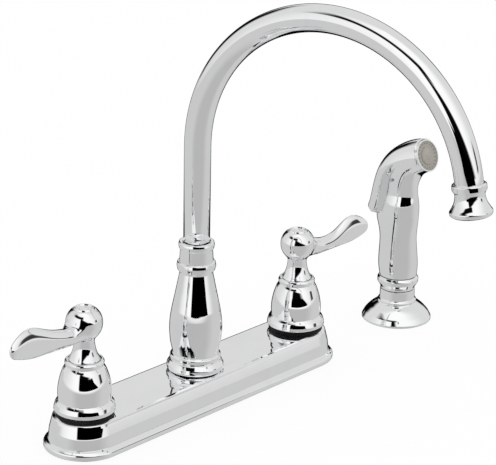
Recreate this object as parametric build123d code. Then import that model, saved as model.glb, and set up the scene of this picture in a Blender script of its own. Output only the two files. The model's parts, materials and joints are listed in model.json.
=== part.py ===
"""Two handle kitchen faucet with a gooseneck spout and a side spray, in millimetres.

The origin is on the deck, under the spout's axis. +X runs towards the cold handle, -Y towards the
user and +Z up, so z = 0 is the deck's surface. Each piece is one node in parts/.
"""
import os
from math import cos, pi, radians, sin, tan

from build123d import *

# Layout
handle_spacing = 203.2
hot_lever_turn = 3.6
cold_lever_turn = 7.9
spout_turn = 7.9
spray_x = 211.0
spray_y = -4.0

# Clearances
running_gap = 0.05
glide_gap = 0.1
seat_gap = 0.3

# Deck plate: a moulded shell with round ends
plate_height = 22.5
plate_top_half_width = 18.9
plate_shoulder_half_width = 22.0
plate_waist_half_width = 24.6
plate_foot_half_width = 26.9
plate_bead_height = 5.0
plate_wall = 2.0
gasket_thickness = 2.8
gasket_margin = 1.7

# Brass underbody
casting_radius = 13.0
crossbar_width = 12.0
crossbar_low = 9.0
crossbar_high = 20.0
port_radius = 2.6
port_height = 15.0

# Valves
shank_radius = 10.45
thread_relief = 0.2
shank_bore = 6.0
shank_length = 55.0
valve_neck_radius = 10.0
valve_neck_top = 40.0
valve_bore = 8.0
valve_floor = 12.5
seat_pocket_radius = 4.6
seat_pocket_floor = 4.0
seat_height = 3.6
cartridge_flange_height = 2.0
cartridge_boss_radius = 6.0
cartridge_top = 52.0
stem_radius = 4.05
stem_foot = 16.0
broach_radius = 4.85
broach_top = 78.0
bonnet_across_flats = 25.0
bonnet_height = 10.5

# Bells
bell_gasket_thickness = 2.8
bell_bead_radius = 19.7
bell_belly_radius = 17.6
bell_ring_radius = 12.65
bell_top = 60.1
bell_cavity_radius = 15.2
recess_radius = 10.95
recess_depth = 1.1

# Handles
ball_radius = 11.8
ball_height = 85.0
neck_radius = 6.6
button_radius = 6.85
button_seat = 91.2
screw_head_radius = 4.4
screw_radius = 2.1

# Under the deck
deck_thickness = 20.0
washer_radius = 17.0
washer_thickness = 2.0
nut_across_flats = 32.0
nut_height = 8.0
thread_past_nut = 2.0

# Hub, post and diverter
post_radius = 9.0
post_bore = 6.0
post_low = 14.0
post_high = 34.0
diverter_length = 10.0
diverter_travel = 3.0
outlet_radius = 6.5
outlet_tail_radius = 6.3
outlet_length = 28.0
outlet_bore = 4.0
hub_foot_radius = 19.2
hub_belly_radius = 17.7
hub_ring_radius = 12.9
hub_top = 99.3
hub_socket_floor = 57.0
glide_floor = 86.0
glide_radius = 10.1
glide_height = 3.6
nut_sleeve_radius = 11.3
nut_ring_radius = 11.85
nut_top = 113.5

# Spout
tube_radius = 8.85
tube_wall = 1.4
tube_start = 80.0
bend_start = 177.85
bend_radius = 100.1
bend_angle = 172.0
seal_ring_wire = 0.5
nozzle_ring_radius = 10.55
nozzle_neck_radius = 9.35
nozzle_lip_radius = 13.25
nozzle_length = 18.0
aerator_radius = 9.75
aerator_pocket_start = 11.5

# Spray holder
holder_flange_radius = 25.5
holder_neck_radius = 12.9
holder_top = 23.3
holder_bore = 9.0
holder_shank_radius = 11.0
holder_shank_length = 45.0
holder_gasket_thickness = 2.0

# Wand
base_ring_radius = 15.07
base_top = 33.4
spigot_bottom = 8.0
coupling_radius = 6.35
coupling_bore = 3.5
barb_length = 20.0
bend_of_head = 26.0
head_start = 103.7
head_tilt = 70.0
head_tail = 4.7
head_radius = 11.6
face_radius = 10.75
face_hole_circle = 8.9
face_hole_radius = 0.45
face_holes = 20
passage_radius = 4.5

# Trigger and plunger
trigger_wall = 1.3
trigger_half_width = 13.2
trigger_bottom = 81.4
trigger_top_tilt = 28.0
tip_reach = 16.3
tip_slope = 36.0
flank_reach = 11.0
flank_top = 103.0
bay_floor = 79.2
bay_front = 6.0
pivot_height = 109.0
pin_radius = 1.25
ear_radius = 3.4
plunger_height = 90.0
plunger_radius = 2.05
plunger_head_radius = 3.6
plunger_reach = 19.1
plunger_head_thickness = 2.9

handle_x = handle_spacing / 2
plate_inside = plate_height - plate_wall
valve_nut_low = -deck_thickness - washer_thickness - nut_height
holder_nut_low = -deck_thickness - nut_height
pieces = {}


def outline(start, *runs):
    """Closed face in the XZ plane. A run of one point is a line, of two an arc, of more a curve."""
    edges = []
    corner = start
    for run in runs:
        points = [Vector(r, 0, z) for r, z in (corner, *run)]
        if len(points) == 2:
            edges.append(Line(*points))
        elif len(points) == 3:
            edges.append(ThreePointArc(*points))
        else:
            edges.append(Spline(*points))
        corner = run[-1]
    edges.append(Line(Vector(corner[0], 0, corner[1]), Vector(start[0], 0, start[1])))
    return make_face(edges)


def turned(start, *runs):
    """Solid turned about the Z axis from an outline."""
    return revolve(outline(start, *runs), Axis.Z)


def tube(outer, bore, low, high):
    """Upright round tube, or a rod where bore is 0."""
    section = Circle(outer)
    if bore:
        section = section - Circle(bore)
    return Pos(0, 0, low) * extrude(section, high - low)


def threaded_shank(radius, low, relief_top, high):
    """Plain rod for a threaded shank, whose lower end is turned down to lead a nut on."""
    return tube(radius - thread_relief, 0, low, relief_top) + tube(radius, 0, relief_top, high)


def hex_nut(across_flats, bore, low, high):
    """Upright hexagon with a round bore."""
    section = RegularPolygon(across_flats / 2, 6, major_radius=False) - Circle(bore)
    return Pos(0, 0, low) * extrude(section, high - low)


def seal_ring(outer, height, wire=seal_ring_wire):
    """Round rubber ring whose outside has the radius outer."""
    return Pos(0, 0, height) * Torus(outer - wire, wire)


def seal_groove(outer, height, wire=seal_ring_wire):
    """Cutter for the groove that a seal ring lies in."""
    return tube(outer + 1, outer - 2 * wire, height - wire - running_gap, height + wire + running_gap)


def coil(radius, wire, turns, low, high):
    """Round wire wound about the Z axis, in one unbroken run."""
    climb = high - low - wire
    spine = Pos(0, 0, low + wire / 2) * Helix(climb / turns, climb, radius)
    section = Plane(origin=spine @ 0, z_dir=spine % 0) * Circle(wire / 2)
    return sweep(section, path=spine, is_frenet=True)


def oval(half_width, half_height):
    """Ellipse kept a little taller than wide, so that sections in a row loft without a twist."""
    return Ellipse(half_width, max(half_height, half_width + 0.02))


def bar_with_round_ends(face):
    """Straight moulding along X with half-round ends on the two handle axes."""
    side = Pos(-handle_x, 0, 0) * extrude(Rot(0, 0, 90) * face, handle_spacing, dir=(1, 0, 0))
    half_turn = revolve(face, Axis.Z, 180)
    right = Pos(handle_x, 0, 0) * Rot(0, 0, -90) * half_turn
    left = Pos(-handle_x, 0, 0) * Rot(0, 0, 90) * half_turn
    return side + mirror(side, Plane.XZ) + right + left


def plate_section(inset, low):
    """Half section of the deck plate, drawn in by inset."""
    top = plate_height - inset
    return outline(
        (0, low),
        [(plate_foot_half_width - 1.0 - inset, low)],
        [(plate_foot_half_width - inset, plate_bead_height / 2),
         (plate_foot_half_width - 1.3 - inset, plate_bead_height)],
        [(plate_waist_half_width - inset, plate_bead_height + 0.7)],
        [(23.1 - inset, 13.0), (plate_shoulder_half_width - inset, top - 2.2)],
        [(20.7 - inset, top - 0.8), (plate_top_half_width - inset, top)],
        [(0, top)],
    )


def make_deck_plate():
    shell = bar_with_round_ends(plate_section(0, 0)) - bar_with_round_ends(plate_section(plate_wall, -1))
    for x in (-handle_x, handle_x):
        shell -= Pos(x, 0, 0) * tube(valve_neck_radius + seat_gap, 0, 0, plate_height + 1)
    shell -= tube(post_radius + seat_gap, 0, 0, plate_height + 1)
    pieces["deck_plate"] = shell


def make_base_gasket():
    half_width = plate_foot_half_width - plate_wall - gasket_margin
    sheet = extrude(SlotOverall(handle_spacing + 2 * half_width, 2 * half_width), gasket_thickness)
    for x in (-handle_x, handle_x):
        sheet -= Pos(x, 0, 0) * tube(shank_radius + seat_gap, 0, -1, gasket_thickness + 1)
    sheet -= tube(outlet_radius + seat_gap, 0, -1, gasket_thickness + 1)
    pieces["base_gasket"] = sheet


def make_waterway():
    bar_length = handle_spacing
    bar_height = crossbar_high - crossbar_low
    bar_middle = (crossbar_high + crossbar_low) / 2
    body = tube(casting_radius, 0, gasket_thickness, plate_inside)
    body += Pos(0, 0, bar_middle) * Box(bar_length, crossbar_width, bar_height)
    for x in (-handle_x, handle_x):
        body -= Pos(x, 0, 0) * tube(casting_radius, 0, 0, plate_height)
    body -= Pos(0, 0, port_height) * Rot(0, 90, 0) * Cylinder(port_radius, bar_length)
    body -= tube(post_radius, 0, post_low, plate_height)
    body -= tube(outlet_bore, 0, 0, plate_height)
    body -= tube(outlet_radius, 0, 0, gasket_thickness + 5)
    pieces["waterway"] = body


def make_spray_outlet():
    nipple = tube(outlet_radius, outlet_bore, 0, gasket_thickness + 5)
    pieces["spray_outlet"] = nipple + tube(outlet_tail_radius, outlet_bore, -outlet_length, 0)


def make_valve(side, name):
    """Everything of one valve that stays still, from the seat spring to the bell."""
    here = Pos(side * handle_x, 0, 0)
    body = tube(casting_radius, 0, gasket_thickness, plate_inside)
    body += threaded_shank(shank_radius, -shank_length, valve_nut_low - thread_past_nut, gasket_thickness)
    body += tube(valve_neck_radius, 0, plate_inside, valve_neck_top)
    body -= tube(shank_bore, 0, -shank_length - 1, 0)
    body -= tube(port_radius, 0, -1, seat_pocket_floor + 1)
    body -= tube(seat_pocket_radius, 0, seat_pocket_floor, valve_floor + 1)
    body -= tube(valve_bore, 0, valve_floor, valve_neck_top + 1)
    port = Pos(-side * casting_radius / 2, 0, port_height)
    body -= port * Rot(0, 90, 0) * Cylinder(port_radius, casting_radius + 1)
    pieces[name + "_valve_body"] = here * body

    seat_low = valve_floor - seat_height
    pieces[name + "_seat"] = here * tube(seat_pocket_radius - running_gap, port_radius, seat_low, valve_floor)
    pieces[name + "_seat_spring"] = here * coil(3.3, 0.8, 3, seat_pocket_floor, seat_low)

    flange_top = valve_neck_top + cartridge_flange_height
    cartridge = tube(valve_bore - running_gap, 0, valve_floor, valve_neck_top)
    cartridge += tube(valve_neck_radius, 0, valve_neck_top, flange_top)
    cartridge += tube(cartridge_boss_radius, 0, flange_top, cartridge_top)
    cartridge -= tube(stem_radius + running_gap, 0, 0, cartridge_top + 1)
    cartridge -= Pos(0, 0, port_height) * Rot(0, 90, 0) * Cylinder(port_radius - 0.2, 4 * valve_bore)
    pieces[name + "_cartridge"] = here * cartridge

    nut_low = flange_top + 2.5 - bonnet_height
    nut = hex_nut(bonnet_across_flats, cartridge_boss_radius + running_gap, nut_low, nut_low + bonnet_height)
    nut -= tube(valve_neck_radius + running_gap, 0, nut_low - 1, flange_top)
    pieces[name + "_bonnet_nut"] = here * nut

    gasket_top = plate_height + bell_gasket_thickness
    gasket = tube(bell_bead_radius - 0.8, bell_cavity_radius, plate_height, gasket_top)
    pieces[name + "_bell_gasket"] = here * gasket

    floor = bell_top - recess_depth
    bell = turned(
        (bell_cavity_radius, gasket_top),
        [(bell_bead_radius - 1.3, gasket_top)],
        [(bell_bead_radius, gasket_top + 3.3), (bell_bead_radius - 1.5, gasket_top + 7.1)],
        [(bell_belly_radius - 0.5, gasket_top + 7.9)],
        [(bell_belly_radius, 38.5), (16.9, 45.0), (14.9, 51.5), (bell_ring_radius - 0.6, 56.2)],
        [(bell_ring_radius, 58.2), (bell_ring_radius - 0.8, bell_top)],
        [(recess_radius, bell_top)],
        [(recess_radius, floor)],
        [(broach_radius + 0.75, floor)],
        [(broach_radius + 0.75, floor - 2)],
        [(10.2, floor - 2)],
        [(13.0, 51.0)],
        [(bell_cavity_radius, 45.5)],
    )
    pieces[name + "_bell"] = here * bell


def lever(side):
    """Blade on edge along +X: reach, top of the hot and of the cold one, bottom, half thickness, lean."""
    stations = (
        (0.0, 86.0, 86.0, 75.0, 7.0, 0),
        (8.0, 85.6, 85.3, 73.6, 6.7, 0),
        (14.0, 84.9, 83.8, 73.2, 6.2, 0),
        (21.0, 86.2, 83.2, 73.8, 5.6, 0),
        (29.0, 88.3, 83.9, 74.2, 4.9, 0),
        (36.0, 91.2, 87.3, 74.7, 4.2, 1),
        (42.0, 93.9, 91.9, 75.1, 3.6, 2),
        (48.0, 95.4, 94.9, 75.6, 3.1, 3),
        (54.0, 94.4, 94.4, 76.8, 2.7, 3),
        (59.5, 91.8, 91.8, 78.4, 2.4, 3),
        (63.5, 88.4, 88.4, 80.0, 1.9, 3),
        (65.8, 85.3, 85.3, 82.3, 0.9, 3),
    )
    sections = []
    for reach, hot_top, cold_top, bottom, half_thickness, lean in stations:
        top = hot_top if side < 0 else cold_top
        place = Plane(origin=(reach, 0, (top + bottom) / 2), x_dir=(0, 1, 0), z_dir=(1, 0, 0))
        sections.append(place * Rot(0, 0, -lean) * oval(half_thickness, (top - bottom) / 2))
    return loft(sections)


def make_handle(side, name, turn):
    """Everything that turns with one lever."""
    here = Pos(side * handle_x, 0, 0) * Rot(0, 0, -side * turn)
    foot = bell_top - recess_depth + seat_gap
    ball_meets_neck = ball_height - (ball_radius**2 - neck_radius**2) ** 0.5
    skirt = turned(
        (0, foot),
        [(recess_radius - 0.35, foot)],
        [(recess_radius - 0.5, foot + 1.3)],
        [(8.9, 63.6), (7.6, 67.2), (neck_radius + 0.15, 71.5), (neck_radius, ball_meets_neck)],
        [(0, ball_meets_neck)],
    )
    handle = skirt + Pos(0, 0, ball_height) * Sphere(ball_radius) + lever(side)
    socket = Circle(broach_radius + running_gap)
    handle -= Pos(0, 0, foot - 1) * extrude(socket, broach_top + seat_gap - foot + 1)
    handle -= tube(screw_radius + running_gap, 0, broach_top, button_seat)
    handle -= tube(screw_head_radius + 0.2, 0, 84.5, button_seat)
    handle -= tube(button_radius + running_gap, 0, button_seat, ball_height + ball_radius + 1)
    if side < 0:
        handle = mirror(handle, Plane.YZ)
    pieces[name + "_handle"] = here * handle

    button = turned(
        (0, button_seat),
        [(button_radius, button_seat)],
        [(button_radius, button_seat + 3.0)],
        [(button_radius - 0.7, button_seat + 3.6), (button_radius - 1.4, button_seat + 3.1)],
        [(button_radius - 1.7, button_seat + 2.6)],
        [(0, button_seat + 2.6)],
    )
    pieces[name + "_button"] = here * button

    screw = tube(screw_head_radius, 0, 84.5, 88.0) + tube(screw_radius, 0, 70.0, 84.5)
    screw -= Pos(0, 0, 86.0) * extrude(RegularPolygon(2.0, 6), 3)
    pieces[name + "_handle_screw"] = here * screw

    ring_height = 47.0
    stem = tube(stem_radius, 0, stem_foot, foot + seat_gap)
    stem += tube(broach_radius, 0, foot + seat_gap, broach_top)
    stem -= tube(screw_radius, 0, 70.0, broach_top + 1)
    stem -= seal_groove(stem_radius, ring_height)
    pieces[name + "_stem"] = here * stem
    pieces[name + "_stem_ring"] = here * seal_ring(stem_radius, ring_height)


def make_mounting_hardware():
    """A washer and a nut on each shank, under the deck."""
    washers = []
    nuts = []
    washer_low = -deck_thickness - washer_thickness
    for x in (-handle_x, handle_x):
        washers.append(Pos(x, 0, 0) * tube(washer_radius, shank_radius, washer_low, -deck_thickness))
        nuts.append(Pos(x, 0, 0) * hex_nut(nut_across_flats, shank_radius, valve_nut_low, washer_low))
    pieces["mounting_washers"] = Compound(children=washers)
    pieces["mounting_nuts"] = Compound(children=nuts)


def make_hub():
    hub = turned(
        (0, plate_height),
        [(hub_foot_radius, plate_height)],
        [(hub_foot_radius, plate_height + 1.5)],
        [(18.8, 27.2), (17.3, 30.0)],
        [(16.7, 30.3)],
        [(17.0, 32.0), (16.0, 34.0)],
        [(15.5, 34.6)],
        [(17.0, 42.3), (hub_belly_radius, 51.7), (17.0, 60.3), (15.85, 67.5), (14.5, 74.6),
         (13.0, 81.7), (11.85, 87.4), (11.3, 92.8)],
        [(hub_ring_radius, 96.2), (11.3, hub_top)],
        [(0, hub_top)],
    )
    hub -= tube(post_radius, 0, plate_height - 1, post_high)
    hub -= tube(post_bore, 0, post_high - 1, hub_socket_floor + 1)
    hub -= tube(tube_radius + running_gap, 0, hub_socket_floor, glide_floor + 1)
    hub -= tube(glide_radius + glide_gap, 0, glide_floor, hub_top + 1)
    pieces["spout_hub"] = hub

    post = tube(post_radius, post_bore, post_low, post_high)
    pieces["spout_post"] = post

    spigot_low = glide_floor + 2 * seat_gap + glide_height
    nut = turned(
        (tube_radius + glide_gap, spigot_low),
        [(glide_radius + running_gap, spigot_low)],
        [(glide_radius + running_gap, hub_top)],
        [(nut_sleeve_radius, hub_top)],
        [(nut_sleeve_radius - 0.6, 108.0)],
        [(nut_ring_radius, 110.8), (nut_sleeve_radius - 0.5, nut_top)],
        [(tube_radius + glide_gap, nut_top)],
    )
    pieces["spout_nut"] = nut


def make_diverter():
    low = post_low + seat_gap
    piston = tube(post_bore - running_gap, 2.5, low, low + diverter_length)
    ring_height = low + diverter_length / 2
    piston -= seal_groove(post_bore - running_gap, ring_height)
    pieces["diverter_piston"] = piston
    pieces["diverter_ring"] = seal_ring(post_bore - running_gap, ring_height)


def bend_point(angle):
    """Point of the spout's centre line, after it has turned by angle."""
    turn = radians(angle)
    return Vector(0, -bend_radius * (1 - cos(turn)), bend_start + bend_radius * sin(turn))


def make_spout():
    """Everything that swivels on the hub, built towards the user and then turned."""
    here = Rot(0, 0, spout_turn)
    line = Line((0, 0, tube_start), (0, 0, bend_start))
    arc = ThreePointArc(bend_point(0), bend_point(bend_angle / 2), bend_point(bend_angle))
    spine = Wire([line, arc])
    floor = Plane.XY.offset(tube_start)
    neck = sweep(floor * Circle(tube_radius), path=spine) - sweep(floor * Circle(tube_radius - tube_wall), path=spine)
    pieces["spout_tube"] = here * neck

    tail_low = hub_socket_floor + seat_gap
    tail = tube(tube_radius, 0, tail_low, tube_start) + tube(tube_radius - tube_wall, 0, tube_start, tube_start + 8)
    tail -= tube(post_bore, 0, tail_low - 1, tube_start + 9)
    rings = []
    for height in (64.0, 71.0):
        tail -= seal_groove(tube_radius, height)
        rings.append(seal_ring(tube_radius, height))
    pieces["spout_tail"] = here * tail
    pieces["spout_rings"] = here * Compound(children=rings)
    glide_low = glide_floor + seat_gap
    pieces["glide_ring"] = here * tube(glide_radius, tube_radius, glide_low, glide_low + glide_height)

    turn = radians(bend_angle)
    mouth = Plane(origin=bend_point(bend_angle), x_dir=(1, 0, 0), z_dir=(0, -sin(turn), cos(turn)))
    outlet = here * mouth.location
    water_radius = tube_radius - tube_wall
    nozzle = turned(
        (water_radius, 0),
        [(tube_radius + glide_gap, 0)],
        [(tube_radius + glide_gap, -2.3)],
        [(nozzle_ring_radius - 0.9, -2.3)],
        [(nozzle_ring_radius, 0.2), (nozzle_ring_radius - 0.6, 2.6)],
        [(nozzle_neck_radius + 0.1, 3.2)],
        [(nozzle_neck_radius, 5.5), (9.9, 8.8), (11.3, 11.6), (12.9, 13.7)],
        [(nozzle_lip_radius, 15.4), (12.3, 17.6)],
        [(10.9, nozzle_length)],
        [(aerator_radius + running_gap, nozzle_length)],
        [(aerator_radius + running_gap, aerator_pocket_start)],
        [(water_radius, aerator_pocket_start)],
    )
    pieces["spout_nozzle"] = outlet * nozzle

    washer_thick = 0.8
    housing_low = aerator_pocket_start + washer_thick
    housing_high = nozzle_length - 0.8
    screen_low = housing_high - 1.6
    pieces["aerator_washer"] = outlet * tube(aerator_radius, 6.5, aerator_pocket_start, housing_low)
    housing = tube(aerator_radius, 7.6, housing_low, housing_high)
    pieces["aerator_housing"] = outlet * housing
    screen = tube(7.6, 0, screen_low, screen_low + 0.8)
    for count, circle in ((1, 0), (6, 2.4), (12, 4.8)):
        for step in range(count):
            turn = Rot(0, 0, 360 * step / count)
            screen -= turn * Pos(circle, 0, 0) * tube(0.7, 0, screen_low - 1, screen_low + 2)
    pieces["aerator_screen"] = outlet * screen


def make_spray_holder():
    here = Pos(spray_x, spray_y, 0)
    recess = holder_flange_radius - 2.5
    relief_top = holder_nut_low - thread_past_nut
    holder = turned(
        (holder_bore, -holder_shank_length),
        [(holder_shank_radius - thread_relief, -holder_shank_length)],
        [(holder_shank_radius - thread_relief, relief_top)],
        [(holder_shank_radius, relief_top)],
        [(holder_shank_radius, holder_gasket_thickness + 0.2)],
        [(recess, holder_gasket_thickness + 0.2)],
        [(recess, 0)],
        [(holder_flange_radius, 0)],
        [(holder_flange_radius, 1.8)],
        [(24.0, 5.0), (20.2, 9.4), (16.3, 12.4), (14.2, 13.8)],
        [(14.2, 14.6)],
        [(13.9, 15.4), (13.3, 15.6)],
        [(holder_neck_radius, 16.2)],
        [(holder_neck_radius - 0.15, holder_top)],
        [(holder_bore, holder_top)],
    )
    pieces["spray_holder"] = here * holder
    gasket = tube(recess - 0.4, holder_shank_radius + 0.4, 0, holder_gasket_thickness + 0.2)
    pieces["holder_gasket"] = here * gasket
    nut = hex_nut(nut_across_flats, holder_shank_radius, holder_nut_low, -deck_thickness)
    pieces["holder_nut"] = here * nut


def make_hose_coupling():
    here = Pos(spray_x, spray_y, 0)
    clip_low = base_top - 3.6
    flange_low = spigot_bottom - 4.0
    coupling = tube(coupling_radius, 0, 0, clip_low + 1.6)
    coupling += tube(holder_bore - 0.7, 0, flange_low, spigot_bottom - seat_gap)
    coupling += tube(4.8, 0, -barb_length, 0)
    coupling -= tube(coupling_bore, 0, -barb_length - 1, base_top)
    pieces["hose_coupling"] = here * coupling
    pieces["coupling_clip"] = here * tube(coupling_radius + 0.95, coupling_radius, clip_low, clip_low + 1.1)


def wand_plane(tilt, along=0.0):
    """Section plane of the wand's head after it has leant by tilt, in the wand's own place."""
    turn = radians(tilt)
    y = -bend_of_head * (1 - cos(turn)) - along * sin(turn)
    z = head_start + bend_of_head * sin(turn) + along * cos(turn)
    return Plane(origin=(0, y, z), x_dir=(1, 0, 0), z_dir=(0, -sin(turn), cos(turn)))


def trigger_section(plane, half_width, front, depth, corner):
    """Section with rounded back corners, from front to depth."""
    edges = [
        Line((-half_width, front), (-half_width, depth - corner)),
        RadiusArc((-half_width, depth - corner), (-half_width + corner, depth), corner),
        Line((-half_width + corner, depth), (half_width - corner, depth)),
        RadiusArc((half_width - corner, depth), (half_width, depth - corner), corner),
        Line((half_width, depth - corner), (half_width, front)),
        Line((half_width, front), (-half_width, front)),
    ]
    return plane * make_face(edges)


def trigger_loft(inset, front):
    """Back cover of the wand from its lower tip to the head, drawn in by inset."""
    half_width = trigger_half_width - inset
    sections = []
    for height, depth, corner in ((trigger_bottom, 21.8, 7.0), (92.0, 21.0, 7.5), (head_start, 19.0, 8.0)):
        plane = Plane.XY.offset(height)
        sections.append(trigger_section(plane, half_width, front, depth - inset, corner - inset))
    top = wand_plane(trigger_top_tilt)
    sections.append(trigger_section(top, half_width, front, 16.3 - inset, 9.0 - inset))
    return loft(sections)


def make_wand():
    here = Pos(spray_x, spray_y, 0)
    base = turned(
        (coupling_radius + running_gap, spigot_bottom),
        [(holder_bore - seat_gap, spigot_bottom)],
        [(holder_bore - seat_gap, holder_top + seat_gap)],
        [(holder_neck_radius - 0.5, holder_top + seat_gap)],
        [(holder_neck_radius - 0.4, holder_top + 1.2)],
        [(base_ring_radius, 29.4), (14.2, base_top - 0.4)],
        [(13.8, base_top)],
        [(coupling_radius + 1.25, base_top)],
        [(coupling_radius + 1.25, base_top - 3.9)],
        [(coupling_radius + running_gap, base_top - 3.9)],
    )
    pieces["wand_base"] = here * base

    stations = (
        (base_top, 0.0, 13.6, 13.6),
        (42.0, 0.5, 14.1, 14.8),
        (50.0, 0.9, 13.6, 14.6),
        (60.0, 1.3, 12.4, 13.8),
        (68.0, 1.8, 12.0, 14.6),
        (74.0, 2.4, 11.6, 16.2),
        (84.0, 1.6, 11.5, 15.4),
        (94.0, 0.6, 11.4, 14.2),
        (head_start, 0.0, 11.3, 13.4),
    )
    sections = []
    for height, shift, half_width, half_depth in stations:
        sections.append(Pos(0, shift, height) * oval(half_width, half_depth))
    for tilt, half_width, half_depth in ((24, 11.4, 13.0), (47, 11.6, 12.4), (head_tilt, head_radius, 11.9)):
        sections.append(wand_plane(tilt) * oval(half_width, half_depth))
    face = wand_plane(head_tilt, head_tail)
    sections.append(face * oval(head_radius, head_radius))
    wand = loft(sections)

    slope = tan(radians(trigger_top_tilt))
    top = wand_plane(trigger_top_tilt).origin
    far = 32.0
    bay = make_face([
        Line((0, bay_front, bay_floor), (0, far, bay_floor)),
        Line((0, far, bay_floor), (0, far, top.Z + (far - top.Y) * slope)),
        Line((0, far, top.Z + (far - top.Y) * slope), (0, bay_front, top.Z + (bay_front - top.Y) * slope)),
        Line((0, bay_front, top.Z + (bay_front - top.Y) * slope), (0, bay_front, bay_floor)),
    ])
    wand -= extrude(bay, 20, dir=(1, 0, 0), both=True)
    wand -= tube(passage_radius, 0, base_top - 1, 120)
    wand -= face * Pos(0, 0, -3.2) * Cylinder(face_radius + running_gap, 8, align=(Align.CENTER, Align.CENTER, Align.MIN))
    wand -= face * Pos(0, 0, -9) * Cylinder(9.0, 8, align=(Align.CENTER, Align.CENTER, Align.MIN))
    wand -= face * Pos(0, 0, -20) * Cylinder(4.0, 14, align=(Align.CENTER, Align.CENTER, Align.MIN))
    pivot = Pos(0, 0, pivot_height) * Rot(0, 90, 0)
    wand -= pivot * Cylinder(pin_radius, 40)
    across = Pos(0, 0, plunger_height) * Rot(-90, 0, 0)
    wand -= across * tube(plunger_radius + running_gap, 0, 0, 20)
    pieces["wand_body"] = here * wand

    pieces["trigger_pin"] = here * pivot * Cylinder(pin_radius, 2 * trigger_half_width)

    disc = tube(face_radius, 0, -3.2, 0) + tube(6.2, 0, 0, 0.6)
    for step in range(face_holes):
        hole = Rot(0, 0, 360 * step / face_holes) * Pos(face_hole_circle, 0, 0)
        disc -= hole * tube(face_hole_radius, 0, -4, 1)
    pieces["spray_face"] = here * face.location * disc
    pieces["face_bezel"] = here * face.location * tube(head_radius, face_radius, 0, 0.7)

    cover = trigger_loft(0, 0) - trigger_loft(trigger_wall, -3)
    far_corner = (0, 30.0, trigger_bottom + (30.0 - tip_reach) * tan(radians(tip_slope)))
    tip = make_face([
        Line((0, tip_reach, trigger_bottom), (0, 30.0, trigger_bottom - 1)),
        Line((0, 30.0, trigger_bottom - 1), far_corner),
        Line(far_corner, (0, tip_reach, trigger_bottom)),
    ])
    cover -= extrude(tip, 20, dir=(1, 0, 0), both=True)
    flank = make_face([
        Line((0, -1, trigger_bottom - 1), (0, flank_reach, trigger_bottom - 1)),
        Line((0, flank_reach, trigger_bottom - 1), (0, -1, flank_top)),
        Line((0, -1, flank_top), (0, -1, trigger_bottom - 1)),
    ])
    cover -= extrude(flank, 20, dir=(1, 0, 0), both=True)
    for side in (-1, 1):
        ear = Pos(side * (trigger_half_width - trigger_wall / 2), 0, pivot_height) * Rot(0, 90, 0)
        cover += ear * Cylinder(ear_radius, trigger_wall)
    cover -= pivot * Cylinder(pin_radius + running_gap, 40)
    pieces["trigger"] = here * cover

    head_low = plunger_reach - plunger_head_thickness
    plunger = tube(plunger_radius, 0, 1.5, head_low) + tube(plunger_head_radius, 0, head_low, plunger_reach)
    plunger -= seal_groove(plunger_radius, 5.2, 0.35)
    pieces["spray_plunger"] = here * across * plunger
    pieces["plunger_ring"] = here * across * seal_ring(plunger_radius, 5.2, 0.35)
    pieces["spray_spring"] = here * across * coil(3.0, 0.7, 5, bay_front + 0.1, head_low - 0.1)


make_deck_plate()
make_base_gasket()
make_waterway()
make_spray_outlet()
for side, name, turn in ((-1, "hot", hot_lever_turn), (1, "cold", cold_lever_turn)):
    make_valve(side, name)
    make_handle(side, name, turn)
make_mounting_hardware()
make_hub()
make_diverter()
make_spout()
make_spray_holder()
make_hose_coupling()
make_wand()

os.makedirs("parts", exist_ok=True)
for node, solid in pieces.items():
    export_step(solid, "parts/" + node + ".step")
print(len(pieces), "nodes")
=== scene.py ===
"""Looks of the two handle kitchen faucet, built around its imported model, in millimetres and degrees."""
import json
from math import cos, pi, radians, sin, tan

import bmesh
import bpy
from mathutils import Matrix, Vector


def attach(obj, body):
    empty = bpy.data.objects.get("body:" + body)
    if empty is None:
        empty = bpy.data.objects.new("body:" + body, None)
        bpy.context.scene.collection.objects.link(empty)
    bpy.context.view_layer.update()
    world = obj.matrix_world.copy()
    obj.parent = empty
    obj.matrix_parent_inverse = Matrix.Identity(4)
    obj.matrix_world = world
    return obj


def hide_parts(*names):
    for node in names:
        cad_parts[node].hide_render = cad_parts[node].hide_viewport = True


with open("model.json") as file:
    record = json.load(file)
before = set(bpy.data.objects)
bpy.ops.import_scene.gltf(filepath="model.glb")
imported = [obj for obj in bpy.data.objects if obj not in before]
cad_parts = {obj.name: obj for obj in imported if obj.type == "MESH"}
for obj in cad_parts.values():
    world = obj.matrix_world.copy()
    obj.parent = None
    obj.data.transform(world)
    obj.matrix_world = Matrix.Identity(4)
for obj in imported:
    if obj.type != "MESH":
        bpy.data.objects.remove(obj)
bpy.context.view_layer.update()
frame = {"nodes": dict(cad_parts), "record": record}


# The camera stands to the left of the faucet, a little above it and far back, behind a long lens.
# It is turned by a degree about its own line of sight, as the photograph's is.
mm = 0.001
camera_azimuth = radians(-47.88)
camera_elevation = radians(19.98)
camera_roll = radians(1.12)
camera_target = Vector((67.0, 15.3, 97.6))
camera_distance = 1479.0
far_clip = 50000.0
sensor_width = 36.0
picture_pixels = 496
focal_pixels = 2160

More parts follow.
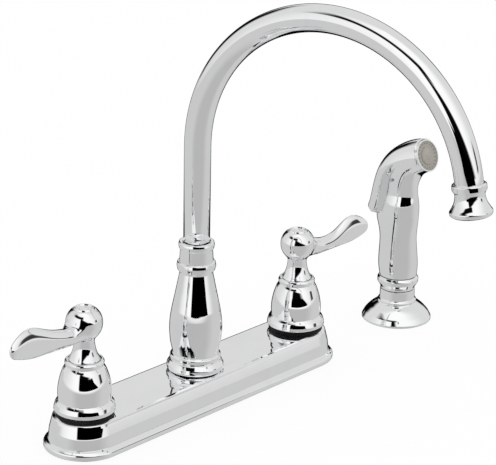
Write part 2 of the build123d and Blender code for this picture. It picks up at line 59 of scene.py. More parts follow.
towards_camera = Vector((
    sin(camera_azimuth) * cos(camera_elevation),
    -cos(camera_azimuth) * cos(camera_elevation),
    sin(camera_elevation),
))
level_right = Vector((cos(camera_azimuth), sin(camera_azimuth), 0))
level_up = towards_camera.cross(level_right)
rolled_right = level_right * cos(camera_roll) + level_up * sin(camera_roll)
rolled_up = level_up * cos(camera_roll) - level_right * sin(camera_roll)
camera_data = bpy.data.cameras.new("camera")
camera_data.sensor_width = sensor_width
camera_data.lens = focal_pixels / picture_pixels * sensor_width
camera_data.clip_end = far_clip * mm
camera = bpy.data.objects.new("camera", camera_data)
bpy.context.collection.objects.link(camera)
camera_turn = Matrix((rolled_right, rolled_up, towards_camera)).transposed().to_4x4()
camera_place = Matrix.Translation((camera_target + towards_camera * camera_distance) * mm)
camera.matrix_world = camera_place @ camera_turn
bpy.context.scene.camera = camera
bpy.context.scene.view_settings.view_transform = "Standard"


# The room is a white studio. Only the metal shows the dark shapes in it: a gap between two soft boxes on
# the camera's side, a strip far to its right, a high band at its left, two low panels behind the faucet,
# and a taller one behind its left. Azimuth 0 points to the camera, and 90 to its right.
class Signal:
    """Output of a shader node, which takes part in sums as a number does."""

    def __init__(self, tree, socket):
        self.tree = tree
        self.socket = socket

    def combine(self, operation, *values):
        node = self.tree.nodes.new("ShaderNodeMath")
        node.operation = operation
        for slot, value in zip(node.inputs, values):
            if isinstance(value, Signal):
                self.tree.links.new(value.socket, slot)
            else:
                slot.default_value = value
        return Signal(self.tree, node.outputs[0])

    def __add__(self, other):
        return self.combine("ADD", self, other)

    def __sub__(self, other):
        return self.combine("SUBTRACT", self, other)

    def __mul__(self, other):
        return self.combine("MULTIPLY", self, other)

    def __rsub__(self, other):
        return self.combine("SUBTRACT", other, self)

    __radd__ = __add__
    __rmul__ = __mul__

    def between(self, low, high):
        """0 below low and 1 above high, with a smooth step from one to the other."""
        node = self.tree.nodes.new("ShaderNodeMapRange")
        node.interpolation_type = "SMOOTHSTEP"
        for slot, value in (("Value", self), ("From Min", low), ("From Max", high)):
            if isinstance(value, Signal):
                self.tree.links.new(value.socket, node.inputs[slot])
            else:
                node.inputs[slot].default_value = value
        return Signal(self.tree, node.outputs[0])

    def within(self, rise, fall):
        """1 past the rise and short of the fall, with a smooth step at each."""
        return self.between(*rise) * (1 - self.between(*fall))


class Shading:
    """Node tree of one material or of the room."""

    def __init__(self, owner):
        owner.use_nodes = True
        self.tree = owner.node_tree
        self.tree.nodes.clear()

    def node(self, kind, settings=None, output=0, **inputs):
        """One node: its settings first, then the values or links of its sockets.

        A socket is given by its name, with _ for a space, or by i and its number.
        """
        made = self.tree.nodes.new("ShaderNode" + kind)
        for key, value in (settings or {}).items():
            setattr(made, key, value)
        for key, value in inputs.items():
            numbered = key[0] == "i" and key[1:].isdigit()
            slot = made.inputs[int(key[1:]) if numbered else key.replace("_", " ")]
            if isinstance(value, Signal):
                self.tree.links.new(value.socket, slot)
            elif isinstance(value, tuple) and len(value) == 3 and slot.type == "RGBA":
                slot.default_value = (*value, 1)
            else:
                slot.default_value = value
        return Signal(self.tree, made.outputs[output])

    def mix(self, factor, first, second):
        """Colour that goes from first to second as factor goes from 0 to 1."""
        settings = {"data_type": "RGBA"}
        return self.node("Mix", settings, 2, i0=factor, i6=first, i7=second)

    def finish(self, kind, shader):
        made = self.tree.nodes.new("ShaderNodeOutput" + kind)
        self.tree.links.new(shader.socket, made.inputs["Surface"])


front_light = 1.04
back_light = 0.74
ground_light = 0.50
side_light = 0.12
strip_shade = 0.95
full_shade = 0.998
room = bpy.data.worlds.new("room")
bpy.context.scene.world = room
studio = Shading(room)
ray = studio.node("TexCoord", output="Generated")
facing = Vector((sin(camera_azimuth), -cos(camera_azimuth), 0))
across = studio.node("VectorMath", {"operation": "DOT_PRODUCT"}, 1, i0=ray, i1=tuple(level_right))
along = studio.node("VectorMath", {"operation": "DOT_PRODUCT"}, 1, i0=ray, i1=tuple(facing))
rise = studio.node("SeparateXYZ", output="Z", Vector=ray)
azimuth = across.combine("ARCTAN2", across, along) * (180 / pi)
elevation = rise.combine("ARCSINE", rise) * (180 / pi)
behind = azimuth.combine("ABSOLUTE", azimuth)

gap = azimuth.within((-23.0, -19.0), (40.0 - elevation * 1.5, 62.0 - elevation * 1.8))
gap = gap * elevation.within((-2.0, -0.6), (39.0, 48.0))
strip = azimuth.within((72.0, 82.0), (89.5, 92.0)) * elevation.within((-1.0, 1.0), (9.0, 17.0))
high_band = azimuth.within((-100.0, -70.0), (-4.0, 2.0)) * elevation.within((34.0, 38.0), (48.0, 56.0))
low_panels = behind.between(146.0, 156.0) * (1 - elevation.between(9.0, 15.0))
left_panel = azimuth.within((-168.0, -158.0), (-142.0, -126.0))
left_panel = left_panel * elevation.within((-6.0, -2.0), (26.0, 38.0))
dark = gap
for shape in (strip * strip_shade, high_band, low_panels, left_panel):
    dark = dark.combine("MAXIMUM", dark, shape)

walls = front_light - (front_light - back_light) * behind.between(30.0, 110.0)
ground = ground_light + side_light * (azimuth.between(-20.0, -60.0) + azimuth.between(40.0, 90.0))
light = ground + (walls - ground) * elevation.between(-6.5, -2.5)
level = light * (1 - dark * full_shade)
path_camera = studio.node("LightPath", output="Is Camera Ray")
path_diffuse = studio.node("LightPath", output="Is Diffuse Ray")
plain = path_camera.combine("MAXIMUM", path_camera, path_diffuse)
strength = level * (1 - plain) + plain
studio.finish("World", studio.node("Background", Color=(1.0, 1.0, 1.0), Strength=strength))

# The floor is a pale sheet that reaches far beyond the frame. To the camera it is white, with the
# faucet's shadow. The metal shows the room below the horizon in its place, which is a pale grey.
floor_half_width = 30000.0
pale_share = 0.14
pale_level = 0.80
white_level = (1 - pale_share * pale_level) / (1 - pale_share)
floor_mesh = bmesh.new()
bmesh.ops.create_grid(floor_mesh, x_segments=1, y_segments=1, size=floor_half_width * mm)
floor_data = bpy.data.meshes.new("floor")
floor_mesh.to_mesh(floor_data)
floor_mesh.free()
floor = bpy.data.objects.new("floor", floor_data)
bpy.context.collection.objects.link(floor)
floor.visible_glossy = False
floor_material = bpy.data.materials.new("floor_sheet")
sheet = Shading(floor_material)
seen = sheet.node("LightPath", output="Is Camera Ray")
pale = sheet.node("BsdfDiffuse", Color=(pale_level, pale_level, pale_level))
white = sheet.node("Emission", Color=(1.0, 1.0, 1.0), Strength=white_level)
sheet.finish("Material", sheet.node("MixShader", i0=seen * (1 - pale_share), i1=pale, i2=white))
floor_data.materials.append(floor_material)

# The dark gap reaches down to the far edge of the sheet that the faucet stands on. A black screen on
# that edge does this: only the metal shows it, and each piece shows it as low as its own height allows.
screen_reach = 1100.0
screen_height = 300.0
screen_left = -21.0
screen_right_foot = 60.0
screen_right_top = 36.0
screen_mesh = bmesh.new()
bmesh.ops.create_grid(screen_mesh, x_segments=24, y_segments=1, size=1)
for vert in screen_mesh.verts:
    screen_right = screen_right_foot if vert.co.y < 0 else screen_right_top
    bearing = radians(screen_left + (screen_right - screen_left) * (vert.co.x + 1) / 2)
    foot = (facing * cos(bearing) + level_right * sin(bearing)) * screen_reach * mm
    vert.co = (foot.x, foot.y, screen_height * mm * (vert.co.y + 1) / 2)
screen_data = bpy.data.meshes.new("screen")
screen_mesh.to_mesh(screen_data)
screen_mesh.free()
screen = bpy.data.objects.new("screen", screen_data)
bpy.context.collection.objects.link(screen)
screen.visible_camera = False
screen.visible_diffuse = False
screen.visible_shadow = False
screen_material = bpy.data.materials.new("black_screen")
cloth = Shading(screen_material)
cloth.finish("Material", cloth.node("Emission", Color=(0.0, 0.0, 0.0), Strength=1.0))
screen_data.materials.append(screen_material)


# The hidden works are cast and turned brass, with drawn steel, moulded plastic and rubber. They are
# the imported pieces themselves, each with its own finish, and the polished pieces don't mirror them.
def finish(name, colours, metallic, rough, grain, depth, shine=0.5):
    """Material of cloudy colour and roughness, with fine bumps of that grain and depth."""
    material = bpy.data.materials.new(name)
    shading = Shading(material)
    place = shading.node("TexCoord", output="Object")
    cloud = shading.node("TexNoise", None, 0, Vector=place, Scale=60.0, Detail=4.0, Roughness=0.6)
    fine = shading.node("TexNoise", None, 0, Vector=place, Scale=1000.0 / grain, Detail=3.0, Roughness=0.6)
    worn = cloud.between(0.35, 0.7)
    colour = shading.mix(worn * 0.8 + fine * 0.2, *colours)
    roughness = rough[0] + (rough[1] - rough[0]) * (cloud * 0.6 + fine * 0.4)
    bump = shading.node("Bump", Strength=depth, Distance=grain * 0.1 * mm, Height=fine)
    shader = shading.node(
        "BsdfPrincipled", Base_Color=colour, Metallic=metallic, Roughness=roughness, Normal=bump,
        Specular_IOR_Level=shine,
    )
    shading.finish("Material", shader)
    return material


hidden_looks = {
    "cast_brass": (((0.62, 0.44, 0.19), (0.75, 0.57, 0.29)), 1.0, (0.28, 0.5), 0.6, 0.5),
    "spring_steel": (((0.52, 0.52, 0.53), (0.64, 0.64, 0.66)), 1.0, (0.18, 0.34), 0.3, 0.2),
    "white_plastic": (((0.76, 0.76, 0.73), (0.84, 0.84, 0.82)), 0.0, (0.35, 0.5), 0.5, 0.3),
    "black_plastic": (((0.03, 0.03, 0.03), (0.06, 0.06, 0.06)), 0.0, (0.35, 0.55), 0.5, 0.4),
    "seal_rubber": (((0.015, 0.015, 0.015), (0.04, 0.04, 0.04)), 0.0, (0.5, 0.7), 0.4, 0.4),
    "foam_gasket": (((0.03, 0.03, 0.03), (0.08, 0.08, 0.08)), 0.0, (0.75, 0.95), 0.8, 1.0),
}
hidden_finishes = {name: finish(name, *look) for name, look in hidden_looks.items()}
for entry in frame["record"]["subparts"]:
    if entry["material_slot"] in hidden_finishes:
        node = frame["nodes"][entry["node"]]
        node.data.materials.clear()
        node.data.materials.append(hidden_finishes[entry["material_slot"]])
        node.visible_glossy = False


# The deck plate is one zinc casting, polished and chromed: a long bar with round ends, a flat top,
# sides that lean in, and a bead round its foot. It lies on a foam gasket on the deck.
def polished_chrome():
    """Chrome plate on a polished casting, with the faint ripple and wipe marks that such plating keeps."""
    material = bpy.data.materials.new("polished_chrome")
    shading = Shading(material)
    place = shading.node("TexCoord", output="Object")
    wipes = shading.node(
        "TexNoise", None, 0, Vector=place, Scale=35.0, Detail=5.0, Roughness=0.65, Distortion=0.6,
    )
    ripple = shading.node("TexNoise", None, 0, Vector=place, Scale=120.0, Detail=1.0, Roughness=0.4)
    haze = wipes.between(0.45, 0.75)
    colour = shading.mix(haze, (0.93, 0.935, 0.94), (0.90, 0.905, 0.915))
    roughness = 0.018 + haze * 0.03
    bump = shading.node("Bump", Strength=0.05, Distance=0.1 * mm, Height=ripple)
    shader = shading.node(
        "BsdfPrincipled", Base_Color=colour, Metallic=1.0, Roughness=roughness, Normal=bump,
    )
    shading.finish("Material", shader)
    return material


chrome = polished_chrome()
arc_step = radians(7)


def section(corners, closed=True):
    """Wire in the XZ plane, from corners given as radius, height and rounding."""
    wire = bmesh.new()
    points = [Vector((r * mm, 0, z * mm)) for r, z, _ in corners]
    verts = [wire.verts.new(point) for point in points]
    for first, second in zip(verts, verts[1:]):
        wire.edges.new((first, second))
    if closed:
        wire.edges.new((verts[-1], verts[0]))
    count = len(points)
    for index, vert in enumerate(verts):
        rounding = corners[index][2]
        if not rounding:
            continue
        before = points[index] - points[index - 1]
        after = points[(index + 1) % count] - points[index]
        bend = before.angle(after)
        offset = rounding * mm * tan(bend / 2)
        steps = max(2, round(bend / arc_step))
        bmesh.ops.bevel(
            wire, geom=[vert], offset=offset, offset_type="OFFSET", segments=steps,
            profile=0.5, affect="VERTICES", material=-1,
        )
    return wire


def piece(name, shape, body, nodes, material, modifiers=()):
    """Object from a finished bmesh, at the origin, riding on its body in place of its nodes."""
    data = bpy.data.meshes.new(name)
    shape.to_mesh(data)
    shape.free()
    for face in data.polygons:
        face.use_smooth = True
    made = bpy.data.objects.new(name, data)
    bpy.context.collection.objects.link(made)
    data.materials.append(material)
    for kind, settings in modifiers:
        modifier = made.modifiers.new(kind.lower(), kind)
        for key, value in settings.items():
            setattr(modifier, key, value)
    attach(made, body)
    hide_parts(*nodes)
    return made


even_shading = (("WEIGHTED_NORMAL", {"mode": "FACE_AREA", "weight": 100, "keep_sharp": False}),)
rounded_surface = (("SUBSURF", {"levels": 3, "render_levels": 3}),)


def turned(corners, steps=144, closed=True):
    """Section turned about the Z axis."""
    shape = section(corners, closed)
    bmesh.ops.spin(
        shape, geom=shape.verts[:] + shape.edges[:], cent=(0, 0, 0), axis=(0, 0, 1), angle=2 * pi,
        steps=steps, use_merge=True,
    )
    bmesh.ops.remove_doubles(shape, verts=shape.verts, dist=0.001 * mm)
    bmesh.ops.recalc_face_normals(shape, faces=shape.faces)
    return shape


handle_x = 101.6
plate_top = 22.5
plate_underside = 20.5
post_hole = 9.3
flat_area = 3000.0
plate = section((
    (0, plate_top, 0), (18.9, plate_top, 0.4), (20.8, 21.9, 1.0), (21.4, 19.8, 2.5), (23.0, 13.4, 14.0),
    (23.8, 6.3, 0.5), (25.2, 5.5, 0.7), (26.85, 4.0, 2.0), (26.75, 0.3, 1.6), (24.9, 0.3, 0.3),
    (22.6, 5.0, 1.0), (20.0, plate_underside, 1.0), (0, plate_underside, 0),
), closed=False)
bmesh.ops.rotate(plate, verts=plate.verts, cent=(0, 0, 0), matrix=Matrix.Rotation(-pi / 2, 3, "Z"))
bmesh.ops.translate(plate, verts=plate.verts, vec=(handle_x * mm, 0, 0))
edge = plate.verts[:] + plate.edges[:]
for side in (1, -1):
    swept = bmesh.ops.spin(
        plate, geom=edge, cent=(side * handle_x * mm, 0, 0), axis=(0, 0, 1), angle=pi, steps=72,
        use_merge=False,
    )
    outline = [g for g in swept["geom_last"] if isinstance(g, bmesh.types.BMEdge)]
    edge = bmesh.ops.extrude_edge_only(plate, edges=outline)["geom"]
    ends = [g for g in edge if isinstance(g, bmesh.types.BMVert)]
    bmesh.ops.translate(plate, verts=ends, vec=(-side * 2 * handle_x * mm, 0, 0))
    edge = [g for g in edge if not isinstance(g, bmesh.types.BMFace)]
bmesh.ops.remove_doubles(plate, verts=plate.verts, dist=0.01 * mm)

# The brass post comes up through a hole in the plate's middle, so both flats are cut out and filled
# again round that hole.
middle = [f for f in plate.faces if f.calc_area() > flat_area * mm * mm]
bmesh.ops.delete(plate, geom=middle, context="FACES")
rims = []
for height in (plate_top, plate_underside):
    mouth = [
        e for e in plate.edges
        if e.is_boundary and all(abs(v.co.z - height * mm) < 0.01 * mm for v in e.verts)
    ]
    place = Matrix.Translation((0, 0, height * mm))
    made = bmesh.ops.create_circle(plate, cap_ends=False, segments=64, radius=post_hole * mm, matrix=place)
    rims.append(list({e for v in made["verts"] for e in v.link_edges}))
    bmesh.ops.triangle_fill(plate, use_beauty=True, edges=mouth + rims[-1], normal=(0, 0, 1))
bmesh.ops.bridge_loops(plate, edges=rims[0] + rims[1])
bmesh.ops.recalc_face_normals(plate, faces=plate.faces)
piece("deck_plate_shell", plate, "faucet_base", ["deck_plate"], chrome, even_shading)


# A bell covers each valve. It is a chromed zinc turning with a thick bead at its foot and a thin one
# at its top, and it is screwed down on a black rubber ring, which lies on the deck plate.
rubber_colours = ((0.008, 0.008, 0.009), (0.02, 0.02, 0.022))
rubber = finish("moulded_rubber", rubber_colours, 0.0, (0.4, 0.55), 0.7, 0.2, 0.08)
bell_profile = (
    (15.4, 25.4, 0.2), (19.1, 25.4, 0.5), (20.0, 26.2, 0.8), (19.8, 28.2, 1.6), (19.0, 30.9, 2.6),
    (17.8, 32.4, 0.8), (17.2, 33.0, 0.4), (17.45, 36.4, 18.0), (17.3, 41.0, 22.0), (16.15, 47.3, 30.0),
    (13.6, 54.8, 8.0), (11.9, 56.4, 0.5), (12.5, 56.7, 0.8), (12.8, 58.6, 1.2), (11.9, 60.1, 0.9),
    (11.0, 60.1, 0.3), (10.9, 59.0, 0.2), (5.6, 59.0, 0.2), (5.6, 57.2, 0.2), (10.2, 57.2, 1.0),
    (14.6, 48.0, 6.0), (15.4, 40.0, 6.0),
)
band_profile = (
    (15.4, plate_top, 0.2), (18.7, plate_top, 0.4), (18.9, 24.0, 3.0), (18.7, 25.3, 0.4), (15.4, 25.3, 0.2),
)
for side, name in ((-1, "hot"), (1, "cold")):
    here = (side * handle_x * mm, 0, 0)
    bell = turned(bell_profile)
    bmesh.ops.translate(bell, verts=bell.verts, vec=here)
    piece(
        name + "_bell_cover", bell, "faucet_base", [name + "_bell"], chrome,
        even_shading,
    )
    band = turned(band_profile)
    bmesh.ops.translate(band, verts=band.verts, vec=here)
    piece(
        name + "_bell_band", band, "faucet_base", [name + "_bell_gasket"], rubber,
        even_shading,
    )


# Each handle is one chromed casting: a flared skirt, a neck, a ball and a lever. The lever is a blade
# on edge that leaves the ball low, dips, and rises to a broad paddle. The pair is mirrored.
def oval_ring(shape, place, half_width, half_height, count=16):
    """Ring on an oval in the place's XY plane, widened so that the smooth surface has that size."""
    widen = 3 / (2 + cos(2 * pi / count))
    size = Matrix.Diagonal((half_width * widen * mm, half_height * widen * mm, 1, 1))
    made = bmesh.ops.create_circle(shape, cap_ends=False, segments=count, radius=1, matrix=place @ size)
    ring = set(made["verts"])
    return [e for e in shape.edges if e.verts[0] in ring and e.verts[1] in ring]


def bridged(shape, rings):
    """Rings joined in a row into one skin."""
    for first, second in zip(rings, rings[1:]):
        bmesh.ops.bridge_loops(shape, edges=first + second)


# Each station has its reach, the hot and the cold lever's top, the bottom, the half thickness and the lean.
lever_stations = (
    (14.5, 84.9, 86.2, 73.2, 6.2, 0), (21.0, 86.2, 84.0, 73.8, 5.6, 1), (29.0, 88.3, 84.1, 74.2, 4.9, 3),
    (36.0, 91.2, 86.9, 74.7, 4.1, 5), (42.0, 93.9, 91.2, 75.1, 3.4, 7), (48.0, 95.4, 94.5, 75.6, 2.9, 8),
    (54.0, 94.4, 94.4, 76.8, 2.6, 8), (59.5, 91.8, 91.8, 78.4, 2.3, 7), (63.9, 88.6, 88.6, 79.9, 1.8, 6),
    (65.6, 86.0, 86.0, 82.0, 1.0, 5),
)
handle_profile = (
    (10.5, 59.3, 0), (10.45, 60.4, 0), (9.7, 61.6, 0), (8.4, 64.0, 0), (7.4, 67.3, 0), (6.8, 70.8, 0),
    (6.7, 73.6, 0), (7.6, 75.2, 0), (10.1, 77.6, 0), (11.9, 81.2, 0), (12.3, 85.2, 0), (11.7, 88.8, 0),
    (10.2, 91.6, 0), (8.4, 93.5, 0), (7.1, 94.3, 0), (6.95, 94.0, 0), (6.9, 92.0, 0),
)
button_profile = (
    (0, 91.2, 0), (6.55, 91.2, 0.2), (6.55, 93.6, 0.3), (5.9, 95.2, 0.4), (5.3, 95.0, 0.3),
    (4.7, 94.0, 0.4), (3.3, 93.9, 0.2), (3.1, 94.2, 0.15), (2.7, 94.2, 0.15), (2.5, 93.9, 0.2),
    (0, 93.9, 0),
)
# The lever springs from a mouth that is cut in the ball's side between these heights.
root_low = 74.5
root_high = 86.0
root_spread = 0.9
skirt_top = 74.0
ball_top = 87.0
turns = {"hot": radians(3.6), "cold": radians(-7.9)}
for side, name in ((-1, "hot"), (1, "cold")):
    handle = section(handle_profile, closed=False)
    bmesh.ops.spin(
        handle, geom=handle.verts[:] + handle.edges[:], cent=(0, 0, 0), axis=(0, 0, 1), angle=2 * pi,
        steps=16, use_merge=True,
    )
    bmesh.ops.remove_doubles(handle, verts=handle.verts, dist=0.001 * mm)
    root = [
        f for f in handle.faces
        if abs(f.calc_center_median().y) < root_spread * f.calc_center_median().x
        and root_low * mm < f.calc_center_median().z < root_high * mm
    ]
    bmesh.ops.delete(handle, geom=root, context="FACES")
    rings = [[
        e for e in handle.edges
        if e.is_boundary and skirt_top * mm < e.verts[0].co.z < ball_top * mm
    ]]
    for reach, hot_top, cold_top, bottom, half_thickness, lean in lever_stations:
        top = hot_top if side < 0 else cold_top
        place = Matrix.Translation((reach * mm, 0, (top + bottom) / 2 * mm))
        place = place @ Matrix.Rotation(pi / 2, 4, "Y") @ Matrix.Rotation(radians(-lean), 4, "Z")
        rings.append(oval_ring(handle, place, (top - bottom) / 2, half_thickness))
    bridged(handle, rings)
    bmesh.ops.contextual_create(handle, geom=rings[-1])
    bmesh.ops.recalc_face_normals(handle, faces=handle.faces)
    if side < 0:
        bmesh.ops.scale(handle, vec=(-1, 1, 1), verts=handle.verts)
        bmesh.ops.recalc_face_normals(handle, faces=handle.faces)
    turn = Matrix.Rotation(turns[name], 3, "Z")
    bmesh.ops.rotate(handle, verts=handle.verts, cent=(0, 0, 0), matrix=turn)
    bmesh.ops.translate(handle, verts=handle.verts, vec=(side * handle_x * mm, 0, 0))
    piece(
        name + "_handle_casting", handle, name + "_handle", [name + "_handle"], chrome,
        rounded_surface,
    )
    button = turned(button_profile, steps=96, closed=False)
    bmesh.ops.translate(button, verts=button.verts, vec=(side * handle_x * mm, 0, 0))
    piece(
        name + "_index_button", button, name + "_handle", [name + "_button"], chrome,
        even_shading,
    )


# The spout's hub is a vase-shaped chromed turning that hides the brass post. The spout nut is screwed
# into its collar: a plain sleeve under a rounded ring.
hub = turned((
    (9.05, plate_top, 0.2), (16.6, plate_top, 0.8), (19.4, 23.6, 2.0), (19.2, 27.0, 2.5), (17.4, 29.7, 1.0),
    (16.6, 30.2, 0.4), (17.2, 31.3, 0.9), (16.9, 33.6, 1.0), (15.7, 34.4, 0.5), (15.5, 35.6, 1.5),
    (17.1, 42.3, 30.0), (17.8, 51.7, 40.0), (17.3, 59.4, 40.0), (16.2, 66.0, 40.0), (13.6, 78.6, 300.0),
    (10.95, 92.0, 1.0), (12.4, 93.4, 0.9), (13.1, 96.2, 2.6), (12.6, 99.0, 0.9), (11.4, 99.3, 0.2),
    (10.3, 99.3, 0.2), (10.3, 86.0, 0.1), (8.95, 86.0, 0.1), (8.95, 57.0, 0.1), (6.1, 57.0, 0.1),
    (6.1, 34.0, 0.1), (9.05, 34.0, 0.1),
))
piece("spout_hub_vase", hub, "faucet_base", ["spout_hub"], chrome, even_shading)
nut = turned((
    (8.86, 91.0, 0.1), (10.1, 91.0, 0.1), (10.1, 99.2, 0.1), (11.35, 99.2, 0.2), (10.8, 107.9, 0.5),
    (11.6, 108.5, 0.8), (12.0, 110.9, 2.0), (11.5, 113.3, 1.0), (9.6, 113.0, 0.8), (8.86, 112.6, 0.1),
))
piece("spout_nut_ring", nut, "faucet_base", ["spout_nut"], chrome, even_shading)


# The spout is a drawn brass tube, bent over a former into a gooseneck, polished and chromed. It goes
# down into the hub, and swivels there. The bend leans outwards a little at its end.
tube_low = 80.3
tube_radius = 8.8
tube_wall = 1.35
bend_start = 177.85
bend_radius = 100.1
bend_angle = radians(172)
spout_swing = radians(7.9)
spout_turn = Matrix.Rotation(spout_swing, 3, "Z")
tube = bmesh.new()
bmesh.ops.create_circle(
    tube, cap_ends=False, segments=96, radius=tube_radius * mm,
    matrix=Matrix.Translation((0, 0, tube_low * mm)),
)
made = bmesh.ops.extrude_edge_only(tube, edges=tube.edges[:])
top = [g for g in made["geom"] if isinstance(g, bmesh.types.BMVert)]
bmesh.ops.translate(tube, verts=top, vec=(0, 0, (bend_start - tube_low) * mm))
rim = top + [e for e in tube.edges if e.verts[0] in top and e.verts[1] in top]
bmesh.ops.spin(
    tube, geom=rim, cent=(0, -bend_radius * mm, bend_start * mm), axis=(1, 0, 0), angle=bend_angle,
    steps=120, use_merge=False,
)
bmesh.ops.remove_doubles(tube, verts=tube.verts, dist=0.001 * mm)
bmesh.ops.recalc_face_normals(tube, faces=tube.faces)
bmesh.ops.rotate(tube, verts=tube.verts, cent=(0, 0, 0), matrix=spout_turn)
wall = (("SOLIDIFY", {"thickness": tube_wall * mm, "offset": -1.0}),)
piece("spout_gooseneck", tube, "spout", ["spout_tube"], chrome, wall)

# The nozzle is a flared chromed turning, soldered over the tube's end. The aerator's plastic housing
# and screen sit up inside its mouth.
nozzle = turned((
    (7.5, 0, 0.1), (8.9, 0, 0.1), (8.9, -2.3, 0.1), (9.9, -2.3, 0.5), (10.7, -1.6, 0.9),
    (10.7, 1.8, 1.2), (9.7, 3.0, 0.7), (9.3, 3.9, 1.0), (9.3, 6.3, 8.0), (10.2, 9.7, 9.0),
    (12.1, 13.0, 9.0), (13.35, 14.7, 1.4), (13.0, 17.0, 1.6), (11.2, 17.95, 0.8), (9.9, 17.8, 0.3),
    (9.9, 11.5, 0.1), (7.5, 11.5, 0.1),
))
end = Vector((0, -bend_radius * (1 - cos(bend_angle)), bend_start + bend_radius * sin(bend_angle))) * mm
bmesh.ops.rotate(nozzle, verts=nozzle.verts, cent=(0, 0, 0), matrix=Matrix.Rotation(bend_angle, 3, "X"))
bmesh.ops.translate(nozzle, verts=nozzle.verts, vec=end)
bmesh.ops.rotate(nozzle, verts=nozzle.verts, cent=(0, 0, 0), matrix=spout_turn)
piece("spout_nozzle_flare", nozzle, "spout", ["spout_nozzle"], chrome, even_shading)


# The side spray stands in its holder, a chromed turning with a domed foot and a short neck. A nut under
# the deck pulls the foot down on a rubber gasket.
spray_x = 211.0
spray_y = -4.0
spray_place = Vector((spray_x, spray_y, 0)) * mm
holder = turned((
    (9.0, -44.9, 0.2), (11.0, -44.9, 0.4), (11.0, 2.2, 0.2), (23.0, 2.2, 0.2), (23.0, 0, 0.2),
    (25.4, 0, 0.4), (25.4, 1.6, 0.5), (23.5, 5.2, 6.0), (19.2, 10.0, 14.0), (14.2, 13.0, 1.2),
    (14.1, 14.8, 0.5), (13.2, 15.6, 0.4), (12.9, 16.2, 0.4), (12.7, 23.2, 0.3), (9.0, 23.2, 0.3),
))
bmesh.ops.translate(holder, verts=holder.verts, vec=spray_place)
piece("spray_holder_foot", holder, "faucet_base", ["spray_holder"], chrome, even_shading)

# The wand's base ring is a flared chromed collar under the grip. Its spigot drops into the holder's
# bore, and the ring rests on the holder's neck.
base = turned((
    (6.4, 8.1, 0.2), (8.6, 8.1, 0.4), (8.6, 23.6, 0.2), (12.5, 23.6, 0.3), (12.6, 25.0, 2.0),
    (14.9, 28.6, 1.5), (15.1, 31.5, 1.5), (13.8, 33.35, 0.5), (7.6, 33.35, 0.2), (7.6, 29.6, 0.1),
    (6.4, 29.6, 0.1),
))
bmesh.ops.translate(base, verts=base.verts, vec=spray_place)
piece("wand_base_collar", base, "wand", ["wand_base"], chrome, even_shading)

# The wand is a chromed moulding: a grip that swells, a shelf under the trigger, and an elbow that
# turns the spray face towards the sink.
elbow_radius = 26.0
elbow_start = 103.7
head_tilt = 70


def wand_place(tilt, onward=0.0):
    """Where the wand's centre line is once it has leant by tilt degrees, and how a section stands there."""
    lean = radians(tilt)
    y = -elbow_radius * (1 - cos(lean)) - onward * sin(lean)
    z = elbow_start + elbow_radius * sin(lean) + onward * cos(lean)
    return Matrix.Translation(Vector((0, y, z)) * mm) @ Matrix.Rotation(lean, 4, "X")


# Each station of the grip has its height, its shift to the back, its half width and its half depth. One of
# the elbow has its tilt first, and one of the rim its distance past the elbow's end, and its radius.
grip_stations = (
    (33.4, 0.0, 13.3, 13.3), (33.8, 0.0, 13.6, 13.6), (37.0, 0.2, 13.95, 14.2), (42.0, 0.5, 14.1, 14.8),
    (50.0, 0.9, 13.6, 14.6), (60.0, 1.3, 12.4, 13.8), (68.0, 1.8, 12.0, 14.6), (75.0, 2.8, 11.9, 16.9),
    (79.8, 2.9, 12.0, 17.2), (81.2, 1.4, 12.2, 15.4), (86.8, 0.7, 12.4, 14.8), (92.5, 0.4, 11.4, 13.8),
    (98.0, 0.0, 10.0, 12.4), (104.0, 0.0, 10.4, 12.3),
)
elbow_stations = ((24, 11.4, 13.0), (47, 11.6, 12.4), (head_tilt, 11.6, 11.9))
rim_stations = ((4.0, 11.6), (4.7, 11.5), (4.7, 10.9), (1.6, 10.8), (1.5, 0.8))
wand = bmesh.new()
rings = []
for height, shift, half_width, half_depth in grip_stations:
    place = Matrix.Translation(Vector((0, shift, height)) * mm)
    rings.append(oval_ring(wand, place, half_width, half_depth))
for tilt, half_width, half_depth in elbow_stations:
    rings.append(oval_ring(wand, wand_place(tilt), half_width, half_depth))
for onward, radius in rim_stations:
    rings.append(oval_ring(wand, wand_place(head_tilt, onward), radius, radius))
bridged(wand, rings)
bmesh.ops.contextual_create(wand, geom=rings[0])
bmesh.ops.contextual_create(wand, geom=rings[-1])
bmesh.ops.recalc_face_normals(wand, faces=wand.faces)
bmesh.ops.translate(wand, verts=wand.verts, vec=spray_place)
piece("wand_grip", wand, "wand", ["wand_body"], chrome, rounded_surface)

# The trigger is a chromed strap round the wand's back. It hangs on a pin in the elbow, and runs from a
# sharp lower tip to the top of the head, where it lies flush.
trigger_bottom = 81.4
tip_reach = 16.3
tip_slope = 0.72
strap_thickness = 0.9
hem_reach = 4.5
hem_inset = 0.8
columns = 20
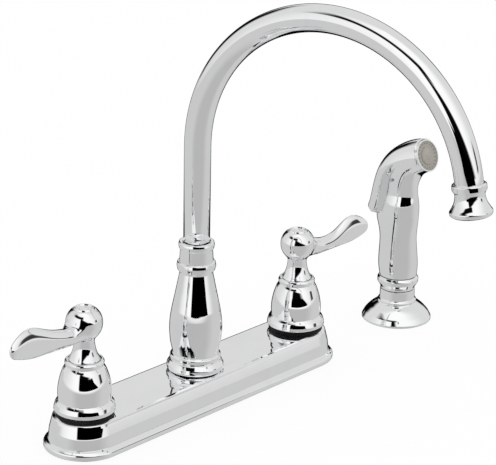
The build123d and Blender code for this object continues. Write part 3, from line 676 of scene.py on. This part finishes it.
# Each station has its place, where the strap dips into the wand, its front, half width, depth and corner.
trigger_stations = (
    (Matrix.Translation((0, 0, trigger_bottom * mm)), 9.6, 15.0, 13.2, 22.2, 6.0),
    (Matrix.Translation((0, 0, 88.0 * mm)), 10.3, 12.5, 13.2, 21.5, 7.2),
    (Matrix.Translation((0, 0, 96.0 * mm)), 8.8, 11.0, 13.0, 20.3, 7.6),
    (Matrix.Translation((0, 0, 104.0 * mm)), 9.1, 10.0, 12.8, 19.0, 8.0),
    (wand_place(14), 9.9, 9.0, 12.8, 17.7, 8.6), (wand_place(28), 10.7, 7.5, 12.7, 16.2, 9.4),
    (wand_place(40), 11.1, 5.5, 12.4, 14.9, 10.4), (wand_place(50), 11.1, 3.0, 12.1, 13.7, 11.3),
    (wand_place(60), 11.2, 1.0, 11.9, 12.9, 11.6), (wand_place(head_tilt), 11.3, 0.0, 11.8, 12.3, 11.7),
    (wand_place(head_tilt, 3.8), 11.3, -0.5, 11.75, 12.0, 11.7),
)


def strap_row(touch, front, half_width, depth, corner):
    """Half of the strap's section, from its edge in the wand to the middle of its back."""
    row = [(touch, front - hem_reach), (half_width - hem_inset, front - 1.0)]
    row += [(half_width, min(front + 1.5, depth - corner)), (half_width, depth - corner)]
    for step in range(1, 6):
        angle = radians(18 * step)
        row.append((half_width - corner + corner * cos(angle), depth - corner + corner * sin(angle)))
    return row + [((half_width - corner) / 2, depth), (0, depth)]


trigger = bmesh.new()
rows = len(trigger_stations) - 1
bmesh.ops.create_grid(trigger, x_segments=columns, y_segments=rows, size=1)
for vert in trigger.verts:
    column = round((vert.co.x + 1) / 2 * columns)
    station = round((vert.co.y + 1) / 2 * rows)
    place, *sizes = trigger_stations[station]
    side = 1 if column > columns / 2 else -1
    x, y = strap_row(*sizes)[min(column, columns - column)]
    drop = max(0, y - tip_reach) * tip_slope if station == 0 else 0
    vert.co = place @ Vector((side * x * mm, y * mm, drop * mm))
bmesh.ops.recalc_face_normals(trigger, faces=trigger.faces)
bmesh.ops.translate(trigger, verts=trigger.verts, vec=spray_place)
strap = (
    ("SUBSURF", {"levels": 2, "render_levels": 2}),
    ("SOLIDIFY", {"thickness": strap_thickness * mm, "offset": -1.0}),
)
piece("trigger_strap", trigger, "trigger", ["trigger"], chrome, strap)

# The spray face is a grey moulded disc with a ring of holes round its raised middle. A thin chromed
# bezel holds it in the head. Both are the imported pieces.
plastic_colours = ((0.35, 0.33, 0.295), (0.45, 0.425, 0.385))
face_plastic = finish("spray_face_plastic", plastic_colours, 0.0, (0.35, 0.5), 0.4, 0.3, 0.35)
for name, material in (("spray_face", face_plastic), ("face_bezel", chrome)):
    node = frame["nodes"][name]
    node.data.materials.clear()
    node.data.materials.append(material)
